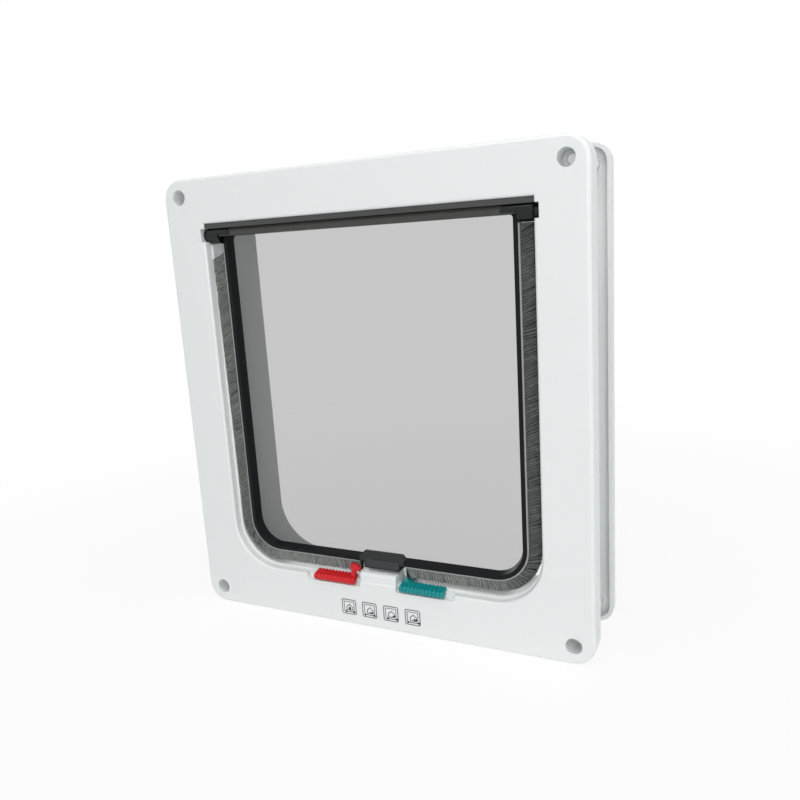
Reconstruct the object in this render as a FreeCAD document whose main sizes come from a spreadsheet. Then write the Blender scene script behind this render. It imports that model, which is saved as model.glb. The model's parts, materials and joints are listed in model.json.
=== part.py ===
import FreeCAD, Part
import math
import os
import Sketcher

# A cat flap for a door: a front frame and a rear frame whose sleeves slide in each other to suit
# the door, a smoked flap that swings both ways on two end caps, a brush round the flap, a magnet
# that holds it shut, and two sliding locks in the sill.
# Millimetres. X runs to the right, Y from the front face to the back, Z up from the bottom edge.

SIZES = {
    # Both frames
    "outer_width": 235.0,
    "outer_height": 250.0,
    "outer_radius": 11.0,
    "total_depth": 55.0,
    "face_wall": 2.2,
    "lip_wall": 2.2,
    "edge_round": 2.0,
    "rear_edge_bevel": 1.2,
    "rear_radius": 9.0,
    "front_lip_depth": 13.0,
    "rear_lip_depth": 7.0,
    "rib_wall": 1.4,
    # Opening in the front frame: a shallow recess, then a narrower mouth round the flap
    "side_limb": 25.2,
    "opening_low": 27.0,
    "top_limb": 24.8,
    "opening_radius": 26.0,
    "opening_round": 1.2,
    "recess_depth": 5.0,
    "mouth_step": 1.2,
    "mouth_wall": 2.0,
    # Passage through the door, and the two sleeves that slide in each other
    "passage_ease": 5.2,
    "passage_drop": 9.0,
    "passage_rise": 4.3,
    "passage_radius": 30.0,
    "passage_top_radius": 6.0,
    "sleeve_wall": 1.6,
    "sleeve_gap": 0.35,
    "sleeve_shortfall": 17.0,
    "sleeve_overlap": 11.0,
    "passage_bevel": 1.0,
    # Screw holes in the corners
    "screw_inset_x": 10.5,
    "screw_inset_z": 10.0,
    "counterbore": 8.2,
    "counterbore_floor": 1.5,
    "screw_hole": 4.4,
    "boss_wall": 1.5,
    "rear_boss": 8.6,
    "rear_boss_set_back": 0.3,
    "pilot_hole": 2.8,
    "pilot_floor": 0.8,
    # Hinge: round journals on the end caps turn in two bearings that open to the front
    "hinge_drop": 6.3,
    "hinge_depth": 5.5,
    "journal_radius": 3.4,
    "journal_clearance": 0.07,
    "journal_length": 2.3,
    "bearing_end_gap": 0.3,
    "bearing_wall": 2.6,
    "cap_radius": 4.75,
    "cap_clearance": 0.3,
    "cap_end_bevel": 0.8,
    "cap_barrel": 8.0,
    "cap_sleeve": 7.6,
    "cap_sleeve_back": 1.5,
    "cap_fit": 0.06,
    # Flap
    "flap_radius": 17.5,
    "rim_front": 4.8,
    "rim_thickness": 6.6,
    "rim_width": 2.2,
    "rim_slope": 1.2,
    "rim_top_radius": 3.0,
    "rail_radius": 4.0,
    "rail_drop": 1.0,
    "rail_cover": 1.4,
    "pane_front": 9.0,
    "pane_thickness": 1.8,
    "pane_lap": 1.3,
    "pane_gap": 0.15,
    # Brush round the flap
    "tape_thickness": 0.8,
    "tape_depth": 6.2,
    "tape_set_back": 0.2,
    "pile_height": 6.4,
    "pile_depth": 4.5,
    "tuft_pitch": 4.4,
    "tuft_notch": 0.7,
    "brush_gap": 0.5,
    "brush_gap_low": 1.8,
    "brush_drop_left": 8.9,
    "brush_drop_right": 4.9,
    "brush_end_gap": 0.4,
    # Catch at the bottom of the flap
    "catch_shift": 1.0,
    "catch_width": 27.4,
    "catch_low_width": 21.5,
    "catch_foot": 3.5,
    "catch_rise": 5.2,
    "catch_proud": 0.4,
    "catch_face_rise": 2.3,
    "catch_ledge": 0.8,
    "catch_corner": 2.2,
    "plate_margin": 0.5,
    "plate_thickness": 1.0,
    "plate_inset": 0.15,
    "flap_magnet_wall": 2.65,
    "flap_magnet_height": 3.4,
    "flap_magnet_depth": 2.8,
    "magnet_floor": 1.1,
    "magnet_gap": 0.1,
    # Sill: a raised block under the catch, with a magnet in it, between the two lock pockets
    "block_width": 21.8,
    "catch_gap": 1.7,
    "block_front": 1.0,
    "block_back": 11.5,
    "block_round": 1.8,
    "sill_magnet_wall": 1.8,
    "sill_magnet_height": 2.7,
    "sill_magnet_depth": 5.8,
    "sill_magnet_front": 3.5,
    "sill_roof": 1.7,
    "cover_thickness": 1.2,
    # Locks
    "lock_pocket_drop": 3.2,
    "lock_pocket_depth": 3.3,
    "lock_pocket_radius": 2.5,
    "sill_wall": 1.8,
    "sill_wall_drop": 5.4,
    "slot_height": 1.6,
    "slot_rise": 0.4,
    "sill_wall_margin": 3.0,
    "lock_gap": 0.3,
    "knob_length": 25.6,
    "knob_proud": 1.8,
    "knob_lift": 0.7,
    "knob_nose": 2.0,
    "knob_slope": 0.5,
    "red_rest_gap": 3.5,
    "teal_rest_gap": 2.5,
    "lock_travel": 7.5,
    "inner_stop_gap": 0.2,
    "outer_stop_gap": 1.0,
    "grip_count": 12,
    "grip_height": 0.55,
    "grip_share": 0.55,
    "finger_lap": 2.4,
    "finger_thickness": 2.0,
    "red_finger_reach": 3.2,
    "red_finger_width": 5.4,
    "red_finger_corner": 1.8,
    "teal_finger_reach": 1.2,
    "teal_finger_width": 3.0,
    "link_width": 4.8,
    "link_rise": 1.3,
    "link_thickness": 1.9,
    "link_gap": 0.3,
    "tongue_length": 12.0,
    "tongue_play": 0.15,
    "tongue_end": 8.0,
    "keeper_length": 15.0,
    "keeper_depth": 2.2,
    "keeper_lap_low": 1.8,
    "keeper_lap_high": 0.2,
    "keeper_fit": 0.02,
    # Draught strip above the flap
    "seal_front": 0.9,
    "seal_thickness": 1.0,
    "seal_height": 2.8,
    "seal_end_gap": 0.1,
}

doc = FreeCAD.newDocument("cat_flap")
sheet = doc.addObject("Spreadsheet::Sheet", "Sizes")
for row, (alias, value) in enumerate(SIZES.items(), 1):
    sheet.set(f"A{row}", alias.replace("_", " "))
    sheet.set(f"B{row}", str(value))
    sheet.setAlias(f"B{row}", alias)
doc.recompute()

# Places that several pieces share, each worked out from the sheet
OUTER_HALF = "Sizes.outer_width / 2"
OPENING_HALF = "(Sizes.outer_width / 2 - Sizes.side_limb)"
OPENING_HIGH = "(Sizes.outer_height - Sizes.top_limb)"
MOUTH_HALF = f"({OPENING_HALF} - Sizes.mouth_step)"
MOUTH_LOW = "(Sizes.opening_low + Sizes.mouth_step)"
PASSAGE_HALF = f"({OPENING_HALF} + Sizes.passage_ease)"
PASSAGE_LOW = "(Sizes.opening_low - Sizes.passage_drop)"
PASSAGE_HIGH = f"({OPENING_HIGH} + Sizes.passage_rise)"
SCREW_X = "(Sizes.outer_width / 2 - Sizes.screw_inset_x)"
SCREW_LOW = "Sizes.screw_inset_z"
SCREW_HIGH = "(Sizes.outer_height - Sizes.screw_inset_z)"
REAR_LIP_FRONT = "(Sizes.total_depth - Sizes.rear_lip_depth)"
FRONT_SLEEVE_END = "(Sizes.total_depth - Sizes.sleeve_shortfall)"
REAR_SLEEVE_START = f"({FRONT_SLEEVE_END} - Sizes.sleeve_overlap)"
SLEEVE_INSIDE = "(Sizes.sleeve_wall + Sizes.sleeve_gap)"
BEARING_REACH = f"({OPENING_HALF} - Sizes.cap_clearance + Sizes.journal_length + Sizes.bearing_end_gap)"
HINGE_HEIGHT = f"({OPENING_HIGH} - Sizes.hinge_drop)"
BRUSH_REACH = "(Sizes.tape_thickness + Sizes.pile_height)"
FLAP_HALF = f"({MOUTH_HALF} - Sizes.brush_gap - {BRUSH_REACH})"
FLAP_LOW = f"({MOUTH_LOW} + Sizes.brush_gap_low + {BRUSH_REACH})"
RIM_BACK = "(Sizes.rim_front + Sizes.rim_thickness)"
RAIL_LOW = f"({HINGE_HEIGHT} - Sizes.rail_drop)"
CAP_END = f"({OPENING_HALF} - Sizes.cap_clearance)"
CAP_START = f"({OPENING_HALF} - Sizes.cap_clearance - Sizes.cap_barrel)"
CATCH_FRONT = "(Sizes.rim_front - Sizes.catch_proud)"
CATCH_LEFT = "(Sizes.catch_shift - Sizes.catch_width / 2)"
CATCH_RIGHT = "(Sizes.catch_shift + Sizes.catch_width / 2)"
CATCH_LOW = f"({FLAP_LOW} - Sizes.catch_foot)"
CATCH_HIGH = f"({FLAP_LOW} + Sizes.catch_rise)"
CATCH_FACE_HIGH = f"({FLAP_LOW} + Sizes.catch_face_rise)"
BLOCK_HIGH = f"({CATCH_LOW} - Sizes.catch_gap)"
FINGER_TOP = f"({CATCH_LOW} + Sizes.finger_lap)"
POCKET_LOW = "(Sizes.opening_low - Sizes.lock_pocket_drop)"
KNOB_HEIGHT = f"({POCKET_LOW} + Sizes.knob_lift + Sizes.knob_nose)"
KNOB_DEPTH = "(Sizes.knob_nose - Sizes.knob_proud)"
KNOB_TOP = f"({KNOB_HEIGHT} + Sizes.knob_nose + Sizes.knob_slope)"
KNOB_HEEL = "(Sizes.recess_depth - Sizes.lock_gap)"
HEEL_LOW = "(Sizes.opening_low + Sizes.lock_gap)"
KNOB_BACK = "(Sizes.lock_pocket_depth - Sizes.lock_gap)"
TONGUE_FRONT = f"({KNOB_BACK} - Sizes.lock_gap * 2)"
POCKET_START = "(Sizes.block_width / 2)"
OUTER_STOP = f"({POCKET_START} + Sizes.inner_stop_gap + Sizes.lock_travel)"
POCKET_END = f"({OUTER_STOP} + Sizes.knob_length + Sizes.outer_stop_gap)"
RED_START = f"({POCKET_START} + Sizes.red_rest_gap)"
TEAL_START = f"({POCKET_START} + Sizes.teal_rest_gap)"
SLOT_INSET = "((Sizes.knob_length - Sizes.tongue_length) / 2)"
SLOT_LOW = f"({POCKET_LOW} + Sizes.slot_rise)"
LINK_TOP = f"({MOUTH_LOW} + Sizes.link_rise)"
PILE_END_LEFT = f"({RED_START} - Sizes.red_finger_reach + Sizes.red_finger_width + Sizes.brush_end_gap)"
PILE_END_RIGHT = f"({CATCH_RIGHT} + Sizes.brush_end_gap * 2)"
SILL_WALL_BACK = "(Sizes.lock_pocket_depth + Sizes.sill_wall)"


def size(expression):
    """The value of an expression of the sheet's cells."""
    return float(sheet.evalExpression(expression))


def origin_plane(body, role):
    """One of a body's own origin planes or axes."""
    return [item for item in body.Origin.OriginFeatures if item.Role == role][0]


def new_body(name):
    """A body whose middle of depth lies over the model's origin."""
    body = doc.addObject("PartDesign::Body", name)
    body.Label = name
    centre(body)
    return body


def centre(item):
    """Move a finished piece so that the part's depth, with the knobs, is centred on Y = 0."""
    item.setExpression("Placement.Base.y", "(Sizes.knob_proud - Sizes.total_depth) / 2")


def front_sketch(body, name, level="0", up="0"):
    """A sketch in X and Z, at a depth behind the front face."""
    item = body.newObject("Sketcher::SketchObject", name)
    item.AttachmentSupport = [(origin_plane(body, "XZ_Plane"), "")]
    item.MapMode = "FlatFace"
    item.setExpression("AttachmentOffset.Base.z", f"-({level})")
    item.setExpression("AttachmentOffset.Base.y", up)
    return item


def side_sketch(body, name, level="0"):
    """A sketch in Y and Z, at a distance to the right of the middle."""
    item = body.newObject("Sketcher::SketchObject", name)
    item.AttachmentSupport = [(origin_plane(body, "YZ_Plane"), "")]
    item.MapMode = "FlatFace"
    item.setExpression("AttachmentOffset.Base.z", level)
    return item


def bind(sketch, kind, geometry, point, expression):
    """Hold one point of a sketch at a distance from its origin, along X or Y."""
    rule = Sketcher.Constraint(kind, -1, 1, geometry, point, size(expression))
    index = sketch.addConstraint(rule)
    sketch.setExpression(f"Constraints[{index}]", expression)


def bind_radius(sketch, geometry, expression):
    """Hold the radius of a circle or an arc."""
    index = sketch.addConstraint(Sketcher.Constraint("Radius", geometry, size(expression)))
    sketch.setExpression(f"Constraints[{index}]", expression)


def add_line(sketch, start, end):
    """A straight line between two points of a sketch."""
    return sketch.addGeometry(Part.LineSegment(FreeCAD.Vector(*start, 0), FreeCAD.Vector(*end, 0)))


def add_arc(sketch, middle, radius, first, last):
    """An arc, counter-clockwise between two angles in degrees."""
    circle = Part.Circle(FreeCAD.Vector(*middle, 0), FreeCAD.Vector(0, 0, 1), radius)
    return sketch.addGeometry(Part.ArcOfCircle(circle, math.radians(first), math.radians(last)))


def polygon(sketch, corners):
    """A closed outline of straight lines, each corner held by its two expressions."""
    points = [(size(across), size(up)) for across, up in corners]
    lines = [add_line(sketch, point, points[(i + 1) % len(points)]) for i, point in enumerate(points)]
    for i, line in enumerate(lines):
        sketch.addConstraint(Sketcher.Constraint("Coincident", line, 2, lines[(i + 1) % len(lines)], 1))
    for line, (across, up) in zip(lines, corners):
        bind(sketch, "DistanceX", line, 1, across)
        bind(sketch, "DistanceY", line, 1, up)


def rectangle(sketch, left, right, low, high):
    """A rectangle between four expressions."""
    polygon(sketch, [(left, low), (right, low), (right, high), (left, high)])


def circle(sketch, across, up, radius):
    """A circle held by its centre and radius."""
    middle = FreeCAD.Vector(size(across), size(up), 0)
    index = sketch.addGeometry(Part.Circle(middle, FreeCAD.Vector(0, 0, 1), size(radius)))
    bind(sketch, "DistanceX", index, 3, across)
    bind(sketch, "DistanceY", index, 3, up)
    bind_radius(sketch, index, radius)


def rounded(sketch, left, right, low, high, low_radius, high_radius=None):
    """A rectangle with one radius for its lower corners, and one for its upper corners or none."""
    x0, x1, z0, z1 = size(left), size(right), size(low), size(high)
    r0, r1 = size(low_radius), size(high_radius) if high_radius else 0.0
    bottom = add_line(sketch, (x0 + r0, z0), (x1 - r0, z0))
    arc_br = add_arc(sketch, (x1 - r0, z0 + r0), r0, 270, 360)
    right_line = add_line(sketch, (x1, z0 + r0), (x1, z1 - r1))
    top = add_line(sketch, (x1 - r1, z1), (x0 + r1, z1))
    left_line = add_line(sketch, (x0, z1 - r1), (x0, z0 + r0))
    arc_bl = add_arc(sketch, (x0 + r0, z0 + r0), r0, 180, 270)
    joined = [(left_line, arc_bl), (arc_bl, bottom), (bottom, arc_br), (arc_br, right_line)]
    if high_radius:
        arc_tr = add_arc(sketch, (x1 - r1, z1 - r1), r1, 0, 90)
        arc_tl = add_arc(sketch, (x0 + r1, z1 - r1), r1, 90, 180)
        joined += [(right_line, arc_tr), (arc_tr, top), (top, arc_tl), (arc_tl, left_line)]
    for first, second in joined:
        sketch.addConstraint(Sketcher.Constraint("Tangent", first, 2, second, 1))
    for item in (bottom, top):
        sketch.addConstraint(Sketcher.Constraint("Horizontal", item))
    for item in (right_line, left_line):
        sketch.addConstraint(Sketcher.Constraint("Vertical", item))
    bind(sketch, "DistanceX", left_line, 1, left)
    bind(sketch, "DistanceX", right_line, 1, right)
    bind(sketch, "DistanceY", bottom, 1, low)
    bind(sketch, "DistanceY", top, 1, high)
    for item in (arc_br, arc_bl):
        bind_radius(sketch, item, low_radius)
    if high_radius:
        for item in (arc_tr, arc_tl):
            bind_radius(sketch, item, high_radius)
    else:
        sketch.addConstraint(Sketcher.Constraint("Coincident", right_line, 2, top, 1))
        sketch.addConstraint(Sketcher.Constraint("Coincident", top, 2, left_line, 1))


def centred(sketch, half, low, high, low_radius, high_radius=None):
    """A rounded rectangle that is centred on the middle of the part."""
    rounded(sketch, f"-({half})", half, low, high, low_radius, high_radius)


def pad(body, name, sketch, length, backwards=True, both_ways=False):
    """Add the sketch's outline as material."""
    item = body.newObject("PartDesign::Pad", name)
    item.Profile = sketch
    item.setExpression("Length", length)
    item.Reversed = backwards
    item.Midplane = both_ways
    doc.recompute()
    return item


def pocket(body, name, sketch, length, both_ways=False, taper=0.0):
    """Cut the sketch's outline out of the body, and make sure that something was cut."""
    before = body.Shape.Volume
    item = body.newObject("PartDesign::Pocket", name)
    item.Profile = sketch
    item.setExpression("Length", length)
    item.Midplane = both_ways
    item.TaperAngle = taper
    doc.recompute()
    if not body.Shape.Volume < before:
        raise RuntimeError(f"{name} cuts nothing")
    return item


def fillet(body, name, radius, wanted):
    """Round every edge of the body that the test picks."""
    base = body.Tip
    names = [f"Edge{i}" for i, edge in enumerate(base.Shape.Edges, 1) if wanted(edge.BoundBox)]
    item = body.newObject("PartDesign::Fillet", name)
    item.Base = (base, names)
    item.setExpression("Radius", radius)
    doc.recompute()
    return item


def chamfer(body, name, width, wanted):
    """Bevel every edge of the body that the test picks."""
    base = body.Tip
    names = [f"Edge{i}" for i, edge in enumerate(base.Shape.Edges, 1) if wanted(edge.BoundBox)]
    item = body.newObject("PartDesign::Chamfer", name)
    item.Base = (base, names)
    item.setExpression("Size", width)
    doc.recompute()
    return item


def close(a, b):
    """Whether two lengths are the same to a hundredth."""
    return abs(a - b) < 0.01


def box(name, left, right, front, back, low, high):
    """A plain block between six expressions."""
    item = doc.addObject("Part::Box", name)
    item.setExpression("Length", f"({right}) - ({left})")
    item.setExpression("Width", f"({back}) - ({front})")
    item.setExpression("Height", f"({high}) - ({low})")
    item.setExpression("Placement.Base.x", left)
    item.setExpression("Placement.Base.y", f"{front} + (Sizes.knob_proud - Sizes.total_depth) / 2")
    item.setExpression("Placement.Base.z", low)
    item.Label = name
    return item


def corner_circles(sketch, radius):
    """The four screw positions in the corners of both frames."""
    for side in ("-", ""):
        for height in (SCREW_LOW, SCREW_HIGH):
            circle(sketch, f"{side}{SCREW_X}", height, radius)


def corner_posts(sketch, half):
    """Square posts round the four screw positions."""
    for side in ("-", ""):
        for height in (SCREW_LOW, SCREW_HIGH):
            across = f"{side}{SCREW_X}"
            rectangle(sketch, f"{across} - {half}", f"{across} + {half}",
                      f"{height} - {half}", f"{height} + {half}")


def limb_ribs(sketch, inner_low, inner_high):
    """Stiffening ribs from the lip to the wall round the opening, in a frame's upper and lower limbs."""
    across_shares = (-0.68, -0.4, 0.0, 0.4, 0.68)
    reach = "Sizes.lip_wall / 2"
    for share in across_shares:
        middle = f"{share} * {OUTER_HALF}"
        left, right = f"{middle} - Sizes.rib_wall / 2", f"{middle} + Sizes.rib_wall / 2"
        rectangle(sketch, left, right, reach, inner_low)
        rectangle(sketch, left, right, inner_high, f"Sizes.outer_height - {reach}")


def side_ribs(sketch, inner_half):
    """The same ribs in a frame's side limbs."""
    up_shares = (0.25, 0.42, 0.58, 0.75)
    reach = "Sizes.lip_wall / 2"
    for share in up_shares:
        middle = f"{share} * Sizes.outer_height"
        low, high = f"{middle} - Sizes.rib_wall / 2", f"{middle} + Sizes.rib_wall / 2"
        rectangle(sketch, f"-{OUTER_HALF} + {reach}", f"-({inner_half})", low, high)
        rectangle(sketch, inner_half, f"{OUTER_HALF} - {reach}", low, high)


def make_front_frame():
    """The white front frame: face, lip, recess, mouth, sleeve, bearings and sill."""
    body = new_body("front_frame")
    lip = "Sizes.front_lip_depth"
    wall = "Sizes.mouth_wall"

    face = front_sketch(body, "face_outline")
    centred(face, OUTER_HALF, "0", "Sizes.outer_height", "Sizes.outer_radius", "Sizes.outer_radius")
    pad(body, "face_block", face, lip)
    fillet(body, "face_edge", "Sizes.edge_round", lambda b: close(b.YMin, 0) and close(b.YMax, 0))

    hollow = front_sketch(body, "hollow_outline", "Sizes.face_wall")
    centred(hollow, f"{OUTER_HALF} - Sizes.lip_wall", "Sizes.lip_wall", "Sizes.outer_height - Sizes.lip_wall",
            "Sizes.outer_radius - Sizes.lip_wall", "Sizes.outer_radius - Sizes.lip_wall")
    centred(hollow, f"{MOUTH_HALF} + {wall}", f"{MOUTH_LOW} - {wall}", f"{OPENING_HIGH} + {wall}",
            f"Sizes.opening_radius - Sizes.mouth_step + {wall}")
    pocket(body, "hollow", hollow, f"{lip} - Sizes.face_wall")

    sleeve = front_sketch(body, "sleeve_flange_outline", f"{lip} - Sizes.face_wall")
    outside = f"({SLEEVE_INSIDE} + Sizes.sleeve_wall)"
    centred(sleeve, f"{PASSAGE_HALF} + {outside}", f"{PASSAGE_LOW} - {outside}",
            f"{PASSAGE_HIGH} + {outside}", f"Sizes.passage_radius + {outside}",
            f"Sizes.passage_top_radius + {outside}")
    centred(sleeve, f"{MOUTH_HALF} + {wall} / 2", f"{MOUTH_LOW} - {wall} / 2", f"{OPENING_HIGH} + {wall} / 2",
            f"Sizes.opening_radius - Sizes.mouth_step + {wall} / 2")
    pad(body, "sleeve_flange", sleeve, "Sizes.face_wall")

    tube = front_sketch(body, "sleeve_section", f"{lip} - Sizes.face_wall")
    for out in (outside, SLEEVE_INSIDE):
        centred(tube, f"{PASSAGE_HALF} + {out}", f"{PASSAGE_LOW} - {out}", f"{PASSAGE_HIGH} + {out}",
                f"Sizes.passage_radius + {out}", f"Sizes.passage_top_radius + {out}")
    pad(body, "sleeve", tube, f"{FRONT_SLEEVE_END} - {lip} + Sizes.face_wall")

    bosses = front_sketch(body, "boss_outlines", "Sizes.face_wall / 2")
    corner_posts(bosses, "(Sizes.counterbore / 2 + Sizes.boss_wall)")
    pad(body, "bosses", bosses, f"{lip} - Sizes.face_wall / 2")

    ribs = front_sketch(body, "rib_outlines", "Sizes.face_wall / 2")
    limb_ribs(ribs, f"{MOUTH_LOW} - {wall} / 2", f"{OPENING_HIGH} + {wall} / 2")
    side_ribs(ribs, f"{MOUTH_HALF} + {wall} / 2")
    pad(body, "ribs", ribs, f"{lip} - Sizes.face_wall * 1.5")

    bearings = front_sketch(body, "bearing_outlines", "Sizes.face_wall / 2")
    tall = "(Sizes.journal_radius + Sizes.journal_clearance + Sizes.bearing_wall)"
    for left, right in ((f"-{BEARING_REACH} - Sizes.bearing_wall", f"-{OPENING_HALF}"),
                        (OPENING_HALF, f"{BEARING_REACH} + Sizes.bearing_wall")):
        rectangle(bearings, left, right, f"{HINGE_HEIGHT} - {tall}", f"{HINGE_HEIGHT} + {tall}")
    pad(body, "bearings", bearings, f"Sizes.hinge_depth + {tall} - Sizes.face_wall / 2")

    sill = front_sketch(body, "sill_wall_outline", "Sizes.face_wall / 2")
    reach = f"({POCKET_END} + Sizes.sill_wall_margin)"
    rectangle(sill, f"-{reach}", reach, "Sizes.opening_low - Sizes.sill_wall_drop", "Sizes.opening_low")
    pad(body, "sill_wall_block", sill, f"{SILL_WALL_BACK} - Sizes.face_wall / 2")

    mouth = front_sketch(body, "mouth_outline")
    centred(mouth, MOUTH_HALF, MOUTH_LOW, OPENING_HIGH, "Sizes.opening_radius - Sizes.mouth_step")
    pocket(body, "mouth", mouth, lip)
    recess = front_sketch(body, "recess_outline")
    centred(recess, OPENING_HALF, "Sizes.opening_low", OPENING_HIGH, "Sizes.opening_radius")
    pocket(body, "recess", recess, "Sizes.recess_depth")
    inside = size(f"{OUTER_HALF} - Sizes.lip_wall - Sizes.edge_round")
    fillet(body, "opening_edge", "Sizes.opening_round",
           lambda b: close(b.YMin, 0) and close(b.YMax, 0) and b.XMax < inside and b.XMin > -inside)

    block = front_sketch(body, "sill_block_outline", "Sizes.block_front")
    rectangle(block, f"-{POCKET_START}", POCKET_START, f"Sizes.opening_low - {wall} / 2", BLOCK_HIGH)
    pad(body, "sill_block", block, "Sizes.block_back - Sizes.block_front")
    top = size(BLOCK_HIGH)
    front = size("Sizes.block_front")
    fillet(body, "sill_block_edge", "Sizes.block_round",
           lambda b: close(b.ZMin, top) and close(b.ZMax, top)
           and close(b.YMin, front) and close(b.YMax, front))

    pockets = front_sketch(body, "lock_pocket_outlines")
    corner = "Sizes.lock_pocket_radius"
    rounded(pockets, f"-{POCKET_END}", f"-{POCKET_START}", POCKET_LOW,
            "Sizes.opening_low + Sizes.lock_pocket_radius", corner, "Sizes.mouth_step / 2")
    rounded(pockets, POCKET_START, POCKET_END, POCKET_LOW,
            "Sizes.opening_low + Sizes.lock_pocket_radius", corner, "Sizes.mouth_step / 2")
    pocket(body, "lock_pockets", pockets, "Sizes.lock_pocket_depth")

    heels = front_sketch(body, "lock_pocket_heels")
    heel_end = f"({POCKET_START} + Sizes.lock_pocket_radius)"
    for left, right in ((f"-{heel_end}", f"-{POCKET_START}"), (POCKET_START, heel_end)):
        rectangle(heels, left, right, POCKET_LOW, f"{POCKET_LOW} + Sizes.lock_pocket_radius")
    pocket(body, "lock_pocket_heels_cut", heels, "Sizes.lock_pocket_depth")

    slots = front_sketch(body, "slot_outlines", "Sizes.lock_pocket_depth - Sizes.lock_gap")
    inner, outer = f"{POCKET_START} + {SLOT_INSET}", f"{POCKET_END} - {SLOT_INSET}"
    for left, right in ((f"-({outer})", f"-({inner})"), (inner, outer)):
        rectangle(slots, left, right, SLOT_LOW, f"{SLOT_LOW} + Sizes.slot_height")
    pocket(body, "slots", slots, "Sizes.sill_wall + Sizes.lock_gap * 2")

    channel = front_sketch(body, "link_channel_outline", "Sizes.recess_depth - Sizes.lock_gap")
    far = f"{OUTER_STOP} + Sizes.link_width + Sizes.link_gap"
    rectangle(channel, POCKET_START, far, f"{LINK_TOP} - Sizes.link_thickness - Sizes.link_gap",
              f"{LINK_TOP} + Sizes.link_gap")
    pocket(body, "link_channel", channel, f"{lip} - Sizes.recess_depth + Sizes.lock_gap * 2")

    cavity = front_sketch(body, "magnet_cavity_outline", "Sizes.sill_magnet_front")
    wide = f"({POCKET_START} - Sizes.sill_magnet_wall)"
    rectangle(cavity, f"-{wide}", wide, f"{MOUTH_LOW} - {wall} * 1.5", f"{BLOCK_HIGH} - Sizes.sill_roof")
    pocket(body, "magnet_cavity", cavity, "Sizes.sill_magnet_depth + Sizes.magnet_gap * 2")

    journals = side_sketch(body, "journal_slots_outline")
    round_slot(journals, "Sizes.journal_radius + Sizes.journal_clearance")
    pocket(body, "journal_slots", journals, f"{BEARING_REACH} * 2", both_ways=True)
    relief = side_sketch(body, "cap_relief_outline")
    round_slot(relief, "Sizes.cap_radius + Sizes.cap_clearance")
    pocket(body, "cap_relief", relief, f"{OPENING_HALF} * 2", both_ways=True)

    bores = front_sketch(body, "counterbore_outlines")
    corner_circles(bores, "Sizes.counterbore / 2")
    pocket(body, "counterbores", bores, f"{lip} - Sizes.counterbore_floor")
    holes = front_sketch(body, "screw_hole_outlines")
    corner_circles(holes, "Sizes.screw_hole / 2")
    pocket(body, "screw_holes", holes, f"{lip} + Sizes.lock_gap")
    return body


def round_slot(sketch, radius):
    """A slot from in front of the face to the hinge axis, with a round end at the axis."""
    r, depth, height = size(radius), size("Sizes.hinge_depth"), size(HINGE_HEIGHT)
    start = "-Sizes.knob_proud"
    mouth = size(start)
    lower = add_line(sketch, (mouth, height - r), (depth, height - r))
    end = add_arc(sketch, (depth, height), r, 270, 450)
    upper = add_line(sketch, (depth, height + r), (mouth, height + r))
    back = add_line(sketch, (mouth, height + r), (mouth, height - r))
    sketch.addConstraint(Sketcher.Constraint("Tangent", lower, 2, end, 1))
    sketch.addConstraint(Sketcher.Constraint("Tangent", end, 2, upper, 1))
    sketch.addConstraint(Sketcher.Constraint("Coincident", upper, 2, back, 1))
    sketch.addConstraint(Sketcher.Constraint("Coincident", back, 2, lower, 1))
    sketch.addConstraint(Sketcher.Constraint("Horizontal", lower))
    sketch.addConstraint(Sketcher.Constraint("Vertical", back))
    bind(sketch, "DistanceX", end, 3, "Sizes.hinge_depth")
    bind(sketch, "DistanceY", end, 3, HINGE_HEIGHT)
    bind(sketch, "DistanceX", back, 1, start)
    bind_radius(sketch, end, radius)


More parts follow.
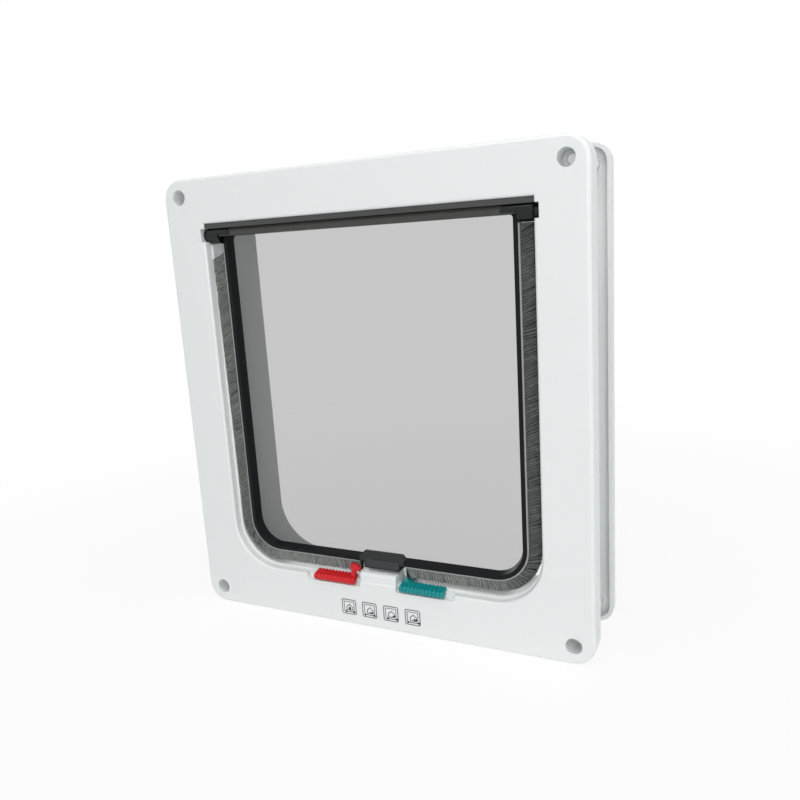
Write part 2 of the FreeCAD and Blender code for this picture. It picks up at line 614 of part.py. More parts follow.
def make_rear_frame():
    """The white rear frame: flange, lip, blind screw bosses and the inner sleeve."""
    body = new_body("rear_frame")
    out = "Sizes.sleeve_wall"

    flange = front_sketch(body, "flange_outline", REAR_LIP_FRONT)
    centred(flange, OUTER_HALF, "0", "Sizes.outer_height", "Sizes.rear_radius", "Sizes.rear_radius")
    pad(body, "flange_block", flange, "Sizes.rear_lip_depth")
    back = size("Sizes.total_depth")
    chamfer(body, "flange_edge", "Sizes.rear_edge_bevel",
            lambda b: close(b.YMin, back) and close(b.YMax, back))

    hollow = front_sketch(body, "hollow_outline", REAR_LIP_FRONT)
    centred(hollow, f"{OUTER_HALF} - Sizes.lip_wall", "Sizes.lip_wall", "Sizes.outer_height - Sizes.lip_wall",
            "Sizes.rear_radius - Sizes.lip_wall", "Sizes.rear_radius - Sizes.lip_wall")
    pocket(body, "hollow", hollow, "Sizes.rear_lip_depth - Sizes.face_wall")

    ribs = front_sketch(body, "rib_outlines", f"{REAR_LIP_FRONT} + Sizes.rib_wall")
    limb_ribs(ribs, f"{PASSAGE_LOW} - {out} / 2", f"{PASSAGE_HIGH} + {out} / 2")
    pad(body, "ribs", ribs, "Sizes.rear_lip_depth - Sizes.face_wall")

    bosses = front_sketch(body, "boss_outlines", f"{REAR_LIP_FRONT} + Sizes.rear_boss_set_back")
    corner_circles(bosses, "Sizes.rear_boss / 2")
    pad(body, "bosses", bosses, "Sizes.rear_lip_depth - Sizes.face_wall")

    tube = front_sketch(body, "sleeve_outline", REAR_SLEEVE_START)
    centred(tube, f"{PASSAGE_HALF} + {out}", f"{PASSAGE_LOW} - {out}", f"{PASSAGE_HIGH} + {out}",
            f"Sizes.passage_radius + {out}", f"Sizes.passage_top_radius + {out}")
    pad(body, "sleeve_block", tube, f"Sizes.total_depth - Sizes.face_wall / 2 - {REAR_SLEEVE_START}")

    passage = front_sketch(body, "passage_outline", REAR_SLEEVE_START)
    centred(passage, PASSAGE_HALF, PASSAGE_LOW, PASSAGE_HIGH,
            "Sizes.passage_radius", "Sizes.passage_top_radius")
    pocket(body, "passage", passage, f"Sizes.total_depth - {REAR_SLEEVE_START}")
    inside = size(f"{OUTER_HALF} - Sizes.lip_wall - Sizes.edge_round")
    chamfer(body, "passage_edge", "Sizes.passage_bevel",
            lambda b: close(b.YMin, back) and close(b.YMax, back) and b.XMax < inside and b.XMin > -inside)

    pilots = front_sketch(body, "pilot_outlines", REAR_LIP_FRONT)
    corner_circles(pilots, "Sizes.pilot_hole / 2")
    pocket(body, "pilots", pilots, "Sizes.rear_lip_depth - Sizes.pilot_floor")
    return body


def make_flap_frame():
    """The dark rim of the flap with the half-round rail along its top."""
    body = new_body("flap_frame")
    ring = front_sketch(body, "rim_outline", "Sizes.rim_front")
    centred(ring, FLAP_HALF, FLAP_LOW, f"{RAIL_LOW} + Sizes.rail_cover * 2", "Sizes.flap_radius",
            "Sizes.rail_cover")
    pad(body, "rim_block", ring, "Sizes.rim_thickness")

    rail = side_sketch(body, "rail_section")
    half_round(rail, "Sizes.rail_radius")
    pad(body, "rail", rail, f"{FLAP_HALF} * 2", backwards=False, both_ways=True)

    window = front_sketch(body, "window_outline", "Sizes.rim_front")
    width = "Sizes.rim_width"
    centred(window, f"{FLAP_HALF} - {width}", f"{FLAP_LOW} + {width}", f"{RAIL_LOW} + Sizes.rim_slope",
            f"Sizes.flap_radius - {width}", "Sizes.rim_top_radius")
    slope = math.degrees(math.atan(size("Sizes.rim_slope / (Sizes.pane_front - Sizes.rim_front)")))
    pocket(body, "window_slope", window, "Sizes.pane_front - Sizes.rim_front", taper=-slope)

    seat = front_sketch(body, "pane_seat_outline", "Sizes.pane_front")
    lap = f"({width} + Sizes.rim_slope - Sizes.pane_lap)"
    centred(seat, f"{FLAP_HALF} - {lap}", f"{FLAP_LOW} + {lap}", f"{RAIL_LOW} + Sizes.pane_lap",
            f"Sizes.flap_radius - {lap}", "Sizes.rim_top_radius + Sizes.pane_lap")
    pocket(body, "pane_seat", seat, f"{RIM_BACK} - Sizes.pane_front")

    notch = front_sketch(body, "catch_seat_outline", "Sizes.rim_front")
    rectangle(notch, CATCH_LEFT, CATCH_RIGHT, f"{FLAP_LOW} - Sizes.rim_width", CATCH_HIGH)
    pocket(body, "catch_seat", notch, "Sizes.pane_front - Sizes.rim_front")
    return body


def half_round(sketch, radius, back="Sizes.hinge_depth"):
    """The upper half of a circle about the hinge axis, on a flat foot that drops below the axis."""
    r, depth, height, low = size(radius), size(back), size(HINGE_HEIGHT), size(RAIL_LOW)
    dome = add_arc(sketch, (depth, height), r, 0, 180)
    front = add_line(sketch, (depth - r, height), (depth - r, low))
    foot = add_line(sketch, (depth - r, low), (depth + r, low))
    rear = add_line(sketch, (depth + r, low), (depth + r, height))
    sketch.addConstraint(Sketcher.Constraint("Tangent", dome, 2, front, 1))
    sketch.addConstraint(Sketcher.Constraint("Coincident", front, 2, foot, 1))
    sketch.addConstraint(Sketcher.Constraint("Coincident", foot, 2, rear, 1))
    sketch.addConstraint(Sketcher.Constraint("Tangent", rear, 2, dome, 1))
    sketch.addConstraint(Sketcher.Constraint("Vertical", front))
    sketch.addConstraint(Sketcher.Constraint("Horizontal", foot))
    bind(sketch, "DistanceX", dome, 3, back)
    bind(sketch, "DistanceY", dome, 3, HINGE_HEIGHT)
    bind(sketch, "DistanceY", foot, 1, RAIL_LOW)
    bind_radius(sketch, dome, radius)


def make_pane():
    """The smoked pane, seated in the back of the rim."""
    body = new_body("flap_window")
    pane = front_sketch(body, "pane_outline", "Sizes.pane_front")
    lap = "(Sizes.rim_width + Sizes.rim_slope - Sizes.pane_lap + Sizes.pane_gap)"
    centred(pane, f"{FLAP_HALF} - {lap}", f"{FLAP_LOW} + {lap}",
            f"{RAIL_LOW} + Sizes.pane_lap - Sizes.pane_gap",
            f"Sizes.flap_radius - {lap}", "Sizes.rim_top_radius + Sizes.pane_lap - Sizes.pane_gap")
    pad(body, "pane", pane, "Sizes.pane_thickness")
    return body


def make_cap():
    """The right end cap: a turned barrel and journal, with a half sleeve over the end of the rail."""
    body = new_body("hinge_cap_right")
    turned = front_sketch(body, "turned_outline", "Sizes.hinge_depth", HINGE_HEIGHT)
    edge = "Sizes.cap_end_bevel"
    journal_end = f"{CAP_END} + Sizes.journal_length"
    polygon(turned, [(CAP_START, "0"), (journal_end, "0"), (journal_end, "Sizes.journal_radius"),
                     (CAP_END, "Sizes.journal_radius"), (CAP_END, f"Sizes.cap_radius - {edge}"),
                     (f"{CAP_END} - {edge}", "Sizes.cap_radius"), (CAP_START, "Sizes.cap_radius")])
    spin = body.newObject("PartDesign::Revolution", "barrel")
    spin.Profile = turned
    spin.ReferenceAxis = (turned, ["H_Axis"])
    spin.Angle = 360.0
    doc.recompute()

    cover = side_sketch(body, "sleeve_section", f"{CAP_START} - Sizes.cap_sleeve")
    shell_section(cover, "Sizes.rail_radius + Sizes.cap_fit", "Sizes.cap_radius")
    pad(body, "rail_sleeve", cover, f"Sizes.cap_sleeve + {edge}", backwards=False)

    fork = front_sketch(body, "fork_outline", "0")
    start, height, reach = f"{CAP_START} - Sizes.cap_sleeve", HINGE_HEIGHT, "Sizes.cap_sleeve_back"
    polygon(fork, [(f"{start} - 1", f"{height} + {reach} * 0.6"),
                   (f"{start} - 1", f"{height} + {reach} * 2.4"),
                   (f"{start} + {reach} * 1.4", f"{height} + {reach} * 1.5")])
    pocket(body, "fork", fork, "Sizes.hinge_depth")
    return body


def shell_section(sketch, inner, outer):
    """A half ring over the front and top of the rail, from the axis height to just behind the axis."""
    r0, r1 = size(inner), size(outer)
    depth, height, back = size("Sizes.hinge_depth"), size(HINGE_HEIGHT), size("Sizes.cap_sleeve_back")
    first0 = math.degrees(math.acos(back / r0))
    first1 = math.degrees(math.acos(back / r1))
    inside = add_arc(sketch, (depth, height), r0, first0, 180)
    outside = add_arc(sketch, (depth, height), r1, first1, 180)
    top0 = (depth + back, height + math.sqrt(r0 ** 2 - back ** 2))
    top1 = (depth + back, height + math.sqrt(r1 ** 2 - back ** 2))
    rear = add_line(sketch, top0, top1)
    front = add_line(sketch, (depth - r1, height), (depth - r0, height))
    sketch.addConstraint(Sketcher.Constraint("Coincident", inside, 1, rear, 1))
    sketch.addConstraint(Sketcher.Constraint("Coincident", rear, 2, outside, 1))
    sketch.addConstraint(Sketcher.Constraint("Coincident", outside, 2, front, 1))
    sketch.addConstraint(Sketcher.Constraint("Coincident", front, 2, inside, 2))
    sketch.addConstraint(Sketcher.Constraint("Coincident", inside, 3, outside, 3))
    sketch.addConstraint(Sketcher.Constraint("Vertical", rear))
    bind(sketch, "DistanceX", inside, 3, "Sizes.hinge_depth")
    bind(sketch, "DistanceY", inside, 3, HINGE_HEIGHT)
    bind(sketch, "DistanceX", rear, 1, "Sizes.hinge_depth + Sizes.cap_sleeve_back")
    bind(sketch, "DistanceY", front, 1, HINGE_HEIGHT)
    bind(sketch, "DistanceY", front, 2, HINGE_HEIGHT)
    bind_radius(sketch, inside, inner)
    bind_radius(sketch, outside, outer)


def mirrored(source, name):
    """The same piece, turned over for the left side."""
    item = doc.addObject("Part::Mirroring", name)
    item.Source = source
    item.Normal = FreeCAD.Vector(1, 0, 0)
    item.Label = name
    return item


def make_tape(side, top):
    """The woven tape that carries the bristles, laid round one half of the rim."""
    name = "brush_tape_left" if side < 0 else "brush_tape_right"
    body = new_body(name)
    sketch = front_sketch(body, "tape_outline", "Sizes.rim_front + Sizes.tape_set_back")
    thick = "Sizes.tape_thickness"
    x_in, x_out = f"{side} * {FLAP_HALF}", f"{side} * ({FLAP_HALF} + {thick})"
    z_in, z_out = FLAP_LOW, f"{FLAP_LOW} - {thick}"
    end = f"{CATCH_LEFT} - Sizes.brush_end_gap" if side < 0 else f"{CATCH_RIGHT} + Sizes.brush_end_gap"
    middle = (size(f"{side} * ({FLAP_HALF} - Sizes.flap_radius)"), size(f"{FLAP_LOW} + Sizes.flap_radius"))
    r_in, r_out = size("Sizes.flap_radius"), size(f"Sizes.flap_radius + {thick}")
    first = 180 if side < 0 else 270
    arc_in = add_arc(sketch, middle, r_in, first, first + 90)
    arc_out = add_arc(sketch, middle, r_out, first, first + 90)
    down_in = add_line(sketch, (size(x_in), size(top)), (size(x_in), middle[1]))
    down_out = add_line(sketch, (size(x_out), size(top)), (size(x_out), middle[1]))
    along_in = add_line(sketch, (middle[0], size(z_in)), (size(end), size(z_in)))
    along_out = add_line(sketch, (middle[0], size(z_out)), (size(end), size(z_out)))
    cap_top = add_line(sketch, (size(x_in), size(top)), (size(x_out), size(top)))
    cap_end = add_line(sketch, (size(end), size(z_in)), (size(end), size(z_out)))
    side_end, floor_end = (1, 2) if side < 0 else (2, 1)
    for arc, down, along in ((arc_in, down_in, along_in), (arc_out, down_out, along_out)):
        sketch.addConstraint(Sketcher.Constraint("Tangent", down, 2, arc, side_end))
        sketch.addConstraint(Sketcher.Constraint("Tangent", arc, floor_end, along, 1))
        sketch.addConstraint(Sketcher.Constraint("Vertical", down))
        sketch.addConstraint(Sketcher.Constraint("Horizontal", along))
    sketch.addConstraint(Sketcher.Constraint("Coincident", cap_top, 1, down_in, 1))
    sketch.addConstraint(Sketcher.Constraint("Coincident", cap_top, 2, down_out, 1))
    sketch.addConstraint(Sketcher.Constraint("Coincident", cap_end, 1, along_in, 2))
    sketch.addConstraint(Sketcher.Constraint("Coincident", cap_end, 2, along_out, 2))
    sketch.addConstraint(Sketcher.Constraint("Horizontal", cap_top))
    sketch.addConstraint(Sketcher.Constraint("Vertical", cap_end))
    bind(sketch, "DistanceX", down_in, 1, x_in)
    bind(sketch, "DistanceX", down_out, 1, x_out)
    bind(sketch, "DistanceY", down_in, 1, top)
    bind(sketch, "DistanceY", along_in, 1, z_in)
    bind(sketch, "DistanceY", along_out, 1, z_out)
    bind(sketch, "DistanceX", along_in, 2, end)
    bind_radius(sketch, arc_in, "Sizes.flap_radius")
    bind_radius(sketch, arc_out, f"Sizes.flap_radius + {thick}")
    pad(body, "tape", sketch, "Sizes.tape_depth")
    return body


def make_pile(side, top):
    """The bristles of one half of the brush: a band round the tape with notched, tufted tips."""
    thick, height = size("Sizes.tape_thickness"), size("Sizes.pile_height")
    radius = size("Sizes.flap_radius") + thick
    half, low = size(FLAP_HALF) + thick, size(FLAP_LOW) - thick
    end = size(PILE_END_LEFT if side < 0 else PILE_END_RIGHT)
    down = size(top) - (low + radius)
    bend = radius * math.pi / 2
    along = half - radius - end

    def place(run, out):
        """The point at a distance along the tape and at a height out from it."""
        if run <= down:
            return FreeCAD.Vector(side * (half + out), 0, size(top) - run)
        if run <= down + bend:
            angle = (run - down) / radius
            reach = radius + out
            return FreeCAD.Vector(side * (half - radius + reach * math.cos(angle)), 0,
                                  low + radius - reach * math.sin(angle))
        return FreeCAD.Vector(side * (half - radius - (run - down - bend)), 0, low - out)

    total = down + bend + along
    tufts = round(total / size("Sizes.tuft_pitch"))
    notch = size("Sizes.tuft_notch")
    tips = [place(total * step / (2 * tufts), height - notch * (step % 2)) for step in range(2 * tufts + 1)]
    middle = place(down + bend / 2, 0)
    root = [Part.makeLine(place(0, 0), place(down, 0)),
            Part.Arc(place(down, 0), middle, place(down + bend, 0)).toShape(),
            Part.makeLine(place(down + bend, 0), place(total, 0))]
    rim = [Part.makeLine(a, b) for a, b in zip(tips[:-1], tips[1:])]
    ends = [Part.makeLine(place(0, 0), tips[0]), Part.makeLine(place(total, 0), tips[-1])]
    outline = Part.Wire(Part.__sortEdges__(root + rim + ends))
    name = "brush_pile_left" if side < 0 else "brush_pile_right"
    item = doc.addObject("Part::Feature", name)
    item.Shape = Part.Face(outline).extrude(FreeCAD.Vector(0, size("Sizes.pile_depth"), 0))
    set_back = "Sizes.rim_front + Sizes.tape_set_back + (Sizes.tape_depth - Sizes.pile_depth) / 2"
    item.setExpression("Placement.Base.y", f"{set_back} + (Sizes.knob_proud - Sizes.total_depth) / 2")
    item.Label = name
    return item


def make_catch():
    """The catch on the bottom of the flap: a bevelled housing with a narrower foot."""
    body = new_body("catch_block")
    section = side_sketch(body, "housing_section", "Sizes.catch_shift")
    low = FLAP_LOW
    polygon(section, [(CATCH_FRONT, low), ("Sizes.pane_front", low), ("Sizes.pane_front", CATCH_HIGH),
                      ("Sizes.pane_front - Sizes.catch_ledge", CATCH_HIGH),
                      (CATCH_FRONT, CATCH_FACE_HIGH)])
    pad(body, "housing", section, "Sizes.catch_width", backwards=False, both_ways=True)

    corners = front_sketch(body, "corner_outlines", f"{CATCH_FRONT} - Sizes.lock_gap")
    high, cut = CATCH_HIGH, "Sizes.catch_corner"
    polygon(corners, [(f"{CATCH_LEFT} - 1", f"{high} - {cut} - 1"),
                      (f"{CATCH_LEFT} + {cut} + 1", f"{high} + 1"),
                      (f"{CATCH_LEFT} - 1", f"{high} + 1")])
    polygon(corners, [(f"{CATCH_RIGHT} + 1", f"{high} - {cut} - 1"),
                      (f"{CATCH_RIGHT} + 1", f"{high} + 1"),
                      (f"{CATCH_RIGHT} - {cut} - 1", f"{high} + 1")])
    pocket(body, "cut_corners", corners, "Sizes.pane_front")

    foot = front_sketch(body, "foot_outline", CATCH_FRONT)
    left = "Sizes.catch_shift - Sizes.catch_low_width / 2"
    right = "Sizes.catch_shift + Sizes.catch_low_width / 2"
    rectangle(foot, left, right, CATCH_LOW, low)
    pad(body, "foot", foot, f"{RIM_BACK} - {CATCH_FRONT}")

    face = front_sketch(body, "plate_seat_outline", CATCH_FRONT)
    margin = "Sizes.plate_margin"
    rectangle(face, f"{left} + {margin}", f"{right} - {margin}", f"{CATCH_LOW} + {margin}",
              f"{CATCH_FACE_HIGH} - {margin}")
    pocket(body, "plate_seat", face, "Sizes.plate_thickness + Sizes.plate_inset")

    cavity = front_sketch(body, "magnet_cavity_outline", CATCH_FRONT)
    half = "(Sizes.catch_low_width / 2 - Sizes.flap_magnet_wall)"
    floor = f"{CATCH_LOW} + Sizes.magnet_floor"
    rectangle(cavity, f"Sizes.catch_shift - {half}", f"Sizes.catch_shift + {half}",
              f"{floor} - Sizes.magnet_gap", f"{floor} + Sizes.flap_magnet_height + Sizes.magnet_gap")
    pocket(body, "magnet_cavity", cavity,
           "Sizes.plate_thickness + Sizes.plate_inset + Sizes.flap_magnet_depth + Sizes.magnet_gap")
    return body


def make_catch_inserts():
    """The face plate of the catch and the bar magnet behind it."""
    margin = "(Sizes.plate_margin + Sizes.pane_gap / 2)"
    left = f"Sizes.catch_shift - Sizes.catch_low_width / 2 + {margin}"
    right = f"Sizes.catch_shift + Sizes.catch_low_width / 2 - {margin}"
    plate_back = f"{CATCH_FRONT} + Sizes.plate_inset + Sizes.plate_thickness"
    plate = box("catch_plate", left, right, f"{CATCH_FRONT} + Sizes.plate_inset", plate_back,
                f"{CATCH_LOW} + {margin}", f"{CATCH_FACE_HIGH} - {margin}")
    half = "(Sizes.catch_low_width / 2 - Sizes.flap_magnet_wall - Sizes.magnet_gap)"
    floor = f"{CATCH_LOW} + Sizes.magnet_floor"
    magnet = box("flap_magnet", f"Sizes.catch_shift - {half}", f"Sizes.catch_shift + {half}", plate_back,
                 f"{plate_back} + Sizes.flap_magnet_depth", floor, f"{floor} + Sizes.flap_magnet_height")
    return [plate, magnet]


def make_sill_inserts():
    """The magnet in the sill block, the cover that closes its cavity, and the strip above the flap."""
    half = f"({POCKET_START} - Sizes.sill_magnet_wall - Sizes.magnet_gap)"
    front = "Sizes.sill_magnet_front + Sizes.magnet_gap"
    back = f"{front} + Sizes.sill_magnet_depth"
    roof = f"{BLOCK_HIGH} - Sizes.sill_roof"
    magnet_low = f"{roof} - Sizes.sill_magnet_height"
    magnet = box("sill_magnet", f"-{half}", half, front, back, magnet_low, roof)
    cover = box("sill_magnet_cover", f"-{half}", half, front, back, f"{magnet_low} - Sizes.cover_thickness",
                magnet_low)
    reach = f"({OPENING_HALF} - Sizes.seal_end_gap)"
    seal = box("top_seal", f"-{reach}", reach, "Sizes.seal_front", "Sizes.seal_front + Sizes.seal_thickness",
               f"{OPENING_HIGH} - Sizes.seal_height", OPENING_HIGH)
    return [magnet, cover, seal]


def knob_outline(sketch, inset):
    """A knob's section: a round front of flats, a sloping top, and a heel that reaches back over the sill."""
    flats = 6
    radius = f"(Sizes.knob_nose - {inset})"
    corners = [(KNOB_BACK, f"{KNOB_HEIGHT} - {radius}")]
    for step in range(flats + 1):
        angle = f"{270 - 180 * step / flats} deg"
        corners.append((f"{KNOB_DEPTH} + {radius} * cos({angle})",
                        f"{KNOB_HEIGHT} + {radius} * sin({angle})"))
    corners += [(KNOB_HEEL, f"{KNOB_TOP} - {inset}"), (KNOB_HEEL, HEEL_LOW), (KNOB_BACK, HEEL_LOW)]
    polygon(sketch, corners)


def make_lock(name, side, start):
    """One lock: a ribbed knob on the front and a tongue through the slot in the sill."""
    body = new_body(name)
    inner, outer = f"{side} * {start}", f"{side} * ({start} + Sizes.knob_length)"
    left, right = (outer, inner) if side < 0 else (inner, outer)

    core = side_sketch(body, "knob_section", left)
    knob_outline(core, "Sizes.grip_height")
    pad(body, "knob", core, "Sizes.knob_length", backwards=False)

    grip = side_sketch(body, "grip_section", left)
    knob_outline(grip, "0")
    ridge = pad(body, "grip", grip, "Sizes.grip_share * Sizes.knob_length / Sizes.grip_count",
                backwards=False)
    row = body.newObject("PartDesign::LinearPattern", "grips")
    row.Originals = [ridge]
    row.Direction = (origin_plane(body, "X_Axis"), [""])
    row.setExpression("Occurrences", "Sizes.grip_count")
    row.setExpression("Length", "Sizes.knob_length * (1 - Sizes.grip_share / Sizes.grip_count)")
    body.Tip = row
    doc.recompute()

    tongue = front_sketch(body, "tongue_outline", TONGUE_FRONT)
    middle = f"{side} * ({start} + Sizes.knob_length / 2)"
    rectangle(tongue, f"{middle} - Sizes.tongue_length / 2", f"{middle} + Sizes.tongue_length / 2",
              f"{SLOT_LOW} + Sizes.tongue_play", f"{SLOT_LOW} + Sizes.slot_height - Sizes.tongue_play")
    pad(body, "tongue", tongue, f"Sizes.tongue_end - {TONGUE_FRONT}")
    return body


def make_red_lock():
    """The red lock, whose finger stands in front of the catch when it is slid inwards."""
    body = make_lock("red_lock", -1, RED_START)
    tip = f"-{RED_START} + Sizes.red_finger_reach"
    finger = front_sketch(body, "finger_outline", f"{KNOB_BACK} - Sizes.finger_thickness")
    base = f"{BLOCK_HIGH} + Sizes.lock_gap"
    polygon(finger, [(f"{tip} - Sizes.red_finger_width", KNOB_HEIGHT), (f"-{RED_START}", KNOB_HEIGHT),
                     (f"-{RED_START}", base), (tip, base), (tip, f"{FINGER_TOP} - Sizes.red_finger_corner"),
                     (f"{tip} - Sizes.red_finger_corner", FINGER_TOP),
                     (f"{tip} - Sizes.red_finger_width", FINGER_TOP)])
    pad(body, "finger", finger, "Sizes.finger_thickness")
    return body


def make_teal_lock():
    """The teal lock, whose link runs over the sill to a finger behind the catch."""
    body = make_lock("teal_lock", 1, TEAL_START)
    left, right = TEAL_START, f"{TEAL_START} + Sizes.link_width"
    low = f"{LINK_TOP} - Sizes.link_thickness"
    link = front_sketch(body, "link_outline", KNOB_BACK)
    rectangle(link, left, right, low, LINK_TOP)
    finger_front = f"({RIM_BACK} + Sizes.lock_gap * 2)"
    pad(body, "link", link, f"{finger_front} + Sizes.finger_thickness - {KNOB_BACK}")
    finger = front_sketch(body, "finger_outline", finger_front)
    tip = f"{TEAL_START} - Sizes.teal_finger_reach"
    rectangle(finger, tip, f"{tip} + Sizes.teal_finger_width", f"{MOUTH_LOW} + Sizes.link_gap", FINGER_TOP)
    pad(body, "finger", finger, "Sizes.finger_thickness")
    return body


def make_keeper(name, side, start):
    """The keeper that is pressed on a lock's tongue behind the sill wall."""
    middle = f"{side} * ({start} + Sizes.knob_length / 2)"
    front = f"{SILL_WALL_BACK} + Sizes.tongue_play"
    back = f"{front} + Sizes.keeper_depth"
    half, hole = "Sizes.keeper_length / 2", "(Sizes.tongue_length / 2 + Sizes.keeper_fit)"
    block = box(f"{name}_block", f"{middle} - {half}", f"{middle} + {half}", front, back,
                f"{SLOT_LOW} - Sizes.keeper_lap_low",
                f"{SLOT_LOW} + Sizes.slot_height + Sizes.keeper_lap_high")
    play = "(Sizes.tongue_play - Sizes.keeper_fit)"
    slot = box(f"{name}_slot", f"{middle} - {hole}", f"{middle} + {hole}", f"{front} - 1", f"{back} + 1",
               f"{SLOT_LOW} + {play}", f"{SLOT_LOW} + Sizes.slot_height - {play}")
    item = doc.addObject("Part::Cut", name)
    item.Base = block
    item.Tool = slot
    item.Label = name
    return item


pieces = [make_front_frame(), make_rear_frame(), make_flap_frame(), make_pane()]
right_cap = make_cap()
pieces += [right_cap, mirrored(right_cap, "hinge_cap_left")]
for brush_side, drop in ((-1, "Sizes.brush_drop_left"), (1, "Sizes.brush_drop_right")):
    brush_top = f"{HINGE_HEIGHT} - {drop}"
    pieces += [make_tape(brush_side, brush_top), make_pile(brush_side, brush_top)]
pieces.append(make_catch())
pieces += make_catch_inserts() + make_sill_inserts()
pieces += [make_red_lock(), make_teal_lock()]
pieces += [make_keeper("red_lock_keeper", -1, RED_START),
           make_keeper("teal_lock_keeper", 1, TEAL_START)]
doc.recompute()

for item in doc.Objects:
    if "Invalid" in item.State or "Error" in item.State:
        raise RuntimeError(f"{item.Label} failed: {item.State}")
for piece in pieces:
    if piece.Shape.isNull() or not piece.Shape.isValid():
        raise RuntimeError(f"{piece.Label} has no valid shape")

os.makedirs("parts", exist_ok=True)
for piece in pieces:
    piece.Shape.exportStep(f"parts/{piece.Label}.step")
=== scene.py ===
import json
import math
import random

import bmesh
import bpy
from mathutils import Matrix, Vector


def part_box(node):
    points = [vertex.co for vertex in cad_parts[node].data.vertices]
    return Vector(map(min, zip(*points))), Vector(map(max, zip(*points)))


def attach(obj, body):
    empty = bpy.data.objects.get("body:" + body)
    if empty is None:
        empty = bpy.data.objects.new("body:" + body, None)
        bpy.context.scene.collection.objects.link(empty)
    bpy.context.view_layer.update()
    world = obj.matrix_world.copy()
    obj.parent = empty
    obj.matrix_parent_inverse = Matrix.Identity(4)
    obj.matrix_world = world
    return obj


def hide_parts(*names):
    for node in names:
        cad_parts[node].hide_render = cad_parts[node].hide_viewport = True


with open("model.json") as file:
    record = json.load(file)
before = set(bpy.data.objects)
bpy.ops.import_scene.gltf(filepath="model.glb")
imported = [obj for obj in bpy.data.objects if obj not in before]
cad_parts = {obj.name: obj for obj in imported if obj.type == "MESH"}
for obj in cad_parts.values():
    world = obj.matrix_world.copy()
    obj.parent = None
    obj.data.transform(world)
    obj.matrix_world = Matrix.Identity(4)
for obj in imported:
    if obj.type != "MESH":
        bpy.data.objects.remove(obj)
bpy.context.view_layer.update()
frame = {"nodes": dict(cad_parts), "record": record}
nodes = frame["nodes"]

# Metres throughout. X runs to the right, Y from the front to the back, Z up.
MM = 0.001

# The depth of the front face, which the printed signs and the knobs are placed from
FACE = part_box("front_frame")[0][1]

# The underside of the flap's rail, above which the rail is painted paler grey as painted light on its
# upturned face, and a height between the catch and the end caps, above which the caps are painted darker as
# painted shade
RAIL_LIGHT_LOW = 218.0 * MM
CAP_SHADE_LOW = 200.0 * MM

# The rounding of the small mouldings' edges
EDGE = 0.3 * MM

# The brush: the tape's outer radius in the corners, and the hairs
TAPE_RADIUS = 18.3 * MM
TUFT_PITCH = 0.5 * MM
TUFT_HAIRS = 25
HAIR_RADIUS = 0.10 * MM
SIDE_LEAN = {"left": 0.70, "right": 0.42}
LOW_LEAN = 0.38
BOW = {"left": 3.0 * MM, "right": 0.5 * MM}
LEAST_BOW = 0.3
DRIFT_KEPT = 0.9
DRIFT_STEP = 0.04
PARTING_SHARE = 0.03
PARTING = 0.15
SIDE_LENGTH = 1.06
LOW_LENGTH = 0.96
CORE_SHARE = 0.90
SKIN_SHARE = 0.72
BACK_HAIRS = 4
HAIR_SPINE = (0.0, 0.45, 0.93, 1.0)
HAIR_TAPER = 0.08
TUFT_TONES = (1.24, 1.04, 0.66)
CORE_END = 5.0 * MM
# Across X, where the hairs' painted shade runs from the paler bottom to the darker side
SIDE_SHADE_CORNER = (66.0 * MM, 84.0 * MM)

# The locks' knobs, behind the face and above the bottom edge
KNOB_LENGTH = 25.6 * MM
KNOB_NOSE = 2.0 * MM
KNOB_DEPTH = 0.2 * MM
KNOB_BACK = 3.0 * MM
KNOB_HEIGHT = 26.5 * MM
KNOB_TOP = 29.3 * MM
KNOB_HEEL = 4.7 * MM
HEEL_LOW = 27.3 * MM
RIDGES = 12
RIDGE_HEIGHT = 0.55 * MM
END_ROUND = 0.25 * MM

# The printed signs under the opening, in millimetres: left edges, lower edge and what they hold
SIGN_LEFT = (-23.6, -10.7, 2.5, 15.6)
SIGN_LOW = 6.0
SIGN_WIDTH = 9.2
SIGN_HEIGHT = 9.1
INK_LIFT = 0.04 * MM
LINE_HEIGHT = 1.6
HEAD_SIZE = 0.9

# The lamps: name, place, the point that each is turned to, width and watts
LAMPS = (
    ("key", (0.55, -1.05, 0.42), (0.0, -0.05, 0.05), 0.7, 4.5),
    ("top", (0.10, -0.30, 1.10), (0.0, -0.10, 0.0), 0.7, 4.7),
    ("side", (1.10, 0.0, 0.60), (0.1, 0.0, 0.12), 0.3, 2.0),
    ("back", (-1.0, 1.0, 0.45), (0.0, 0.0, 0.12), 0.8, 5.0),
)

# The camera fitted to the photograph
CAMERA_PLACE = Vector((185.7, -361.8, 207.7)) * MM
CAMERA_TURN = (78.321, 3.515, 25.469)
CAMERA_LENS = 33.88


# Materials

def new_material(name):
    """A node material with its shader and its tree."""
    material = bpy.data.materials.new(name)
    material.use_nodes = True
    tree = material.node_tree
    return material, tree, tree.nodes["Principled BSDF"]


def object_point(tree):
    """Coordinates in metres, fixed to the object."""
    return tree.nodes.new("ShaderNodeTexCoord").outputs["Object"]


def noise(tree, point, scale, detail=3.0, roughness=0.5):
    """Cloudy noise with so many cells to the metre."""
    node = tree.nodes.new("ShaderNodeTexNoise")
    node.inputs["Scale"].default_value = scale
    node.inputs["Detail"].default_value = detail
    node.inputs["Roughness"].default_value = roughness
    tree.links.new(point, node.inputs["Vector"])
    return node.outputs["Fac"]


def ramp(tree, value, low, high, start=0.3, end=0.7):
    """A colour that runs from low to high as the value does from start to end."""
    node = tree.nodes.new("ShaderNodeValToRGB")
    node.color_ramp.elements[0].position = start
    node.color_ramp.elements[0].color = (*low, 1.0)
    node.color_ramp.elements[1].position = end
    node.color_ramp.elements[1].color = (*high, 1.0)
    tree.links.new(value, node.inputs["Fac"])
    return node.outputs["Color"]


